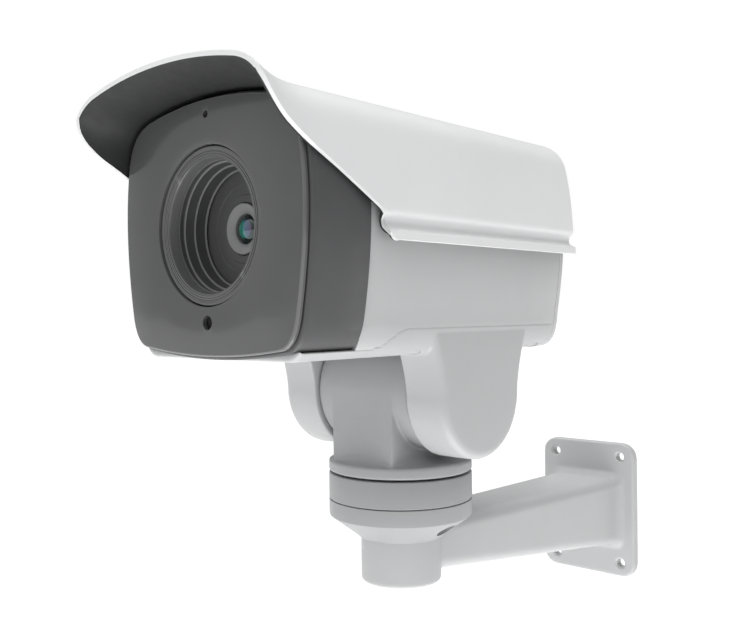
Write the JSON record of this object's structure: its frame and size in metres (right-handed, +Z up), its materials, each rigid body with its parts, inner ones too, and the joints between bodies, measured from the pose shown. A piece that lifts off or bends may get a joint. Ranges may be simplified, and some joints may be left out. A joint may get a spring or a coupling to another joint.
{
  "type": "ptz camera",
  "caption": "Pan and tilt bullet camera: flared sunshield, smoked front window with zoom lens, U-shaped tilt yoke on a round pan base, hollow tapered arm and screw-fixed wall plate.",
  "frame": {"origin": "centre of the wall plate's back face", "axes": "+Y into the wall, +Z up along the pan axis, +X along the tilt axis; the camera looks along -Y at rest"},
  "size_m": [0.1244, 0.3335, 0.2645],
  "materials": {
    "shell_white": "satin off-white paint",
    "casting_white": "satin off-white powder coat",
    "bezel_dark": "satin dark grey",
    "window_smoked": "polished smoked glass, near opaque",
    "black_plastic": "matte",
    "seal_rubber": "matte",
    "steel": "plain",
    "brass": "plain",
    "lens_glass": "coated, teal and violet sheen",
    "retainer_grey": "satin",
    "board_green": "matte",
    "gear_nylon": "matte"
  },
  "bodies": {
    "bracket": {"wall_bracket": "casting_white", "base_collar": "casting_white", "collar_screw": "steel", "base_seal": "seal_rubber", "base_ring": "casting_white", "pan_bearing_outer": "steel", "pan_gear": "gear_nylon"},
    "turret": {"turntable_neck": "casting_white", "pan_bearing_inner": "steel", "pan_motor": "steel", "tilt_motor": "steel", "tilt_bearing_right": "steel", "tilt_bearing_left": "steel"},
    "pan_pinion_gear": {"pan_pinion": "brass"},
    "tilt_pinion_gear": {"tilt_pinion": "brass"},
    "head": {"tilt_shaft": "steel", "tilt_gear": "gear_nylon", "tilt_yoke": "shell_white", "tray_screw_front_right": "steel", "tray_screw_front_left": "steel", "tray_screw_rear_right": "steel", "tray_screw_rear_left": "steel", "housing": "shell_white", "rear_cover": "shell_white", "front_bezel": "bezel_dark", "front_seal": "seal_rubber", "front_window": "window_smoked", "microphone": "black_plastic", "light_sensor": "black_plastic", "lens_trim_ring": "bezel_dark", "lens_surround": "bezel_dark", "lens_mask": "black_plastic", "lens_retainer": "retainer_grey", "front_lens": "lens_glass", "lens_barrel": "black_plastic", "zoom_motor": "steel", "focus_motor": "steel", "image_sensor": "black_plastic", "sensor_board": "board_green", "lamp_board": "board_green", "night_lamp_upper_right": "lens_glass", "night_lamp_upper_left": "lens_glass", "night_lamp_lower_right": "lens_glass", "night_lamp_lower_left": "lens_glass", "main_board": "board_green", "power_board": "board_green", "shade_guide_right": "black_plastic", "shade_guide_left": "black_plastic"},
    "shade": {"sunshield": "shell_white"},
    "zoom": {"zoom_group": "lens_glass"},
    "focus": {"focus_group": "lens_glass"},
    "ir_cut": {"ir_cut_filter": "lens_glass"}
  },
  "joints": [
    {"name": "pan", "type": "hinge", "parent": "bracket", "child": "turret", "pos_m": [0, -0.194, 0.05], "axis": [0, 0, 1], "range_deg": [-177.5, 177.5]},
    {"name": "tilt", "type": "hinge", "parent": "turret", "child": "head", "pos_m": [0, -0.194, 0.0895], "axis": [1, 0, 0], "range_deg": [-45, 40]},
    {"name": "pan_pinion_spin", "type": "hinge", "parent": "turret", "child": "pan_pinion_gear", "pos_m": [0, -0.2115, 0.0435], "axis": [0, 0, 1], "range_deg": [-565, 565]},
    {"name": "tilt_pinion_spin", "type": "hinge", "parent": "turret", "child": "tilt_pinion_gear", "pos_m": [0.01, -0.194, 0.0739], "axis": [1, 0, 0], "range_deg": [-140, 155]},
    {"name": "shade_slide", "type": "slide", "parent": "head", "child": "shade", "axis": [0, 1, 0], "range_m": [0, 0.02]},
    {"name": "zoom_slide", "type": "slide", "parent": "head", "child": "zoom", "axis": [0, 1, 0], "range_m": [0, 0.018]},
    {"name": "focus_slide", "type": "slide", "parent": "head", "child": "focus", "axis": [0, 1, 0], "range_m": [-0.004, 0.008]},
    {"name": "ir_cut_slide", "type": "slide", "parent": "head", "child": "ir_cut", "axis": [1, 0, 0], "range_m": [0, 0.012]}
  ],
  "couplings": [
    {"joint": "pan_pinion_spin", "follows": "pan", "ratio": 3.1667},
    {"joint": "tilt_pinion_spin", "follows": "tilt", "ratio": -3.3333}
  ]
}
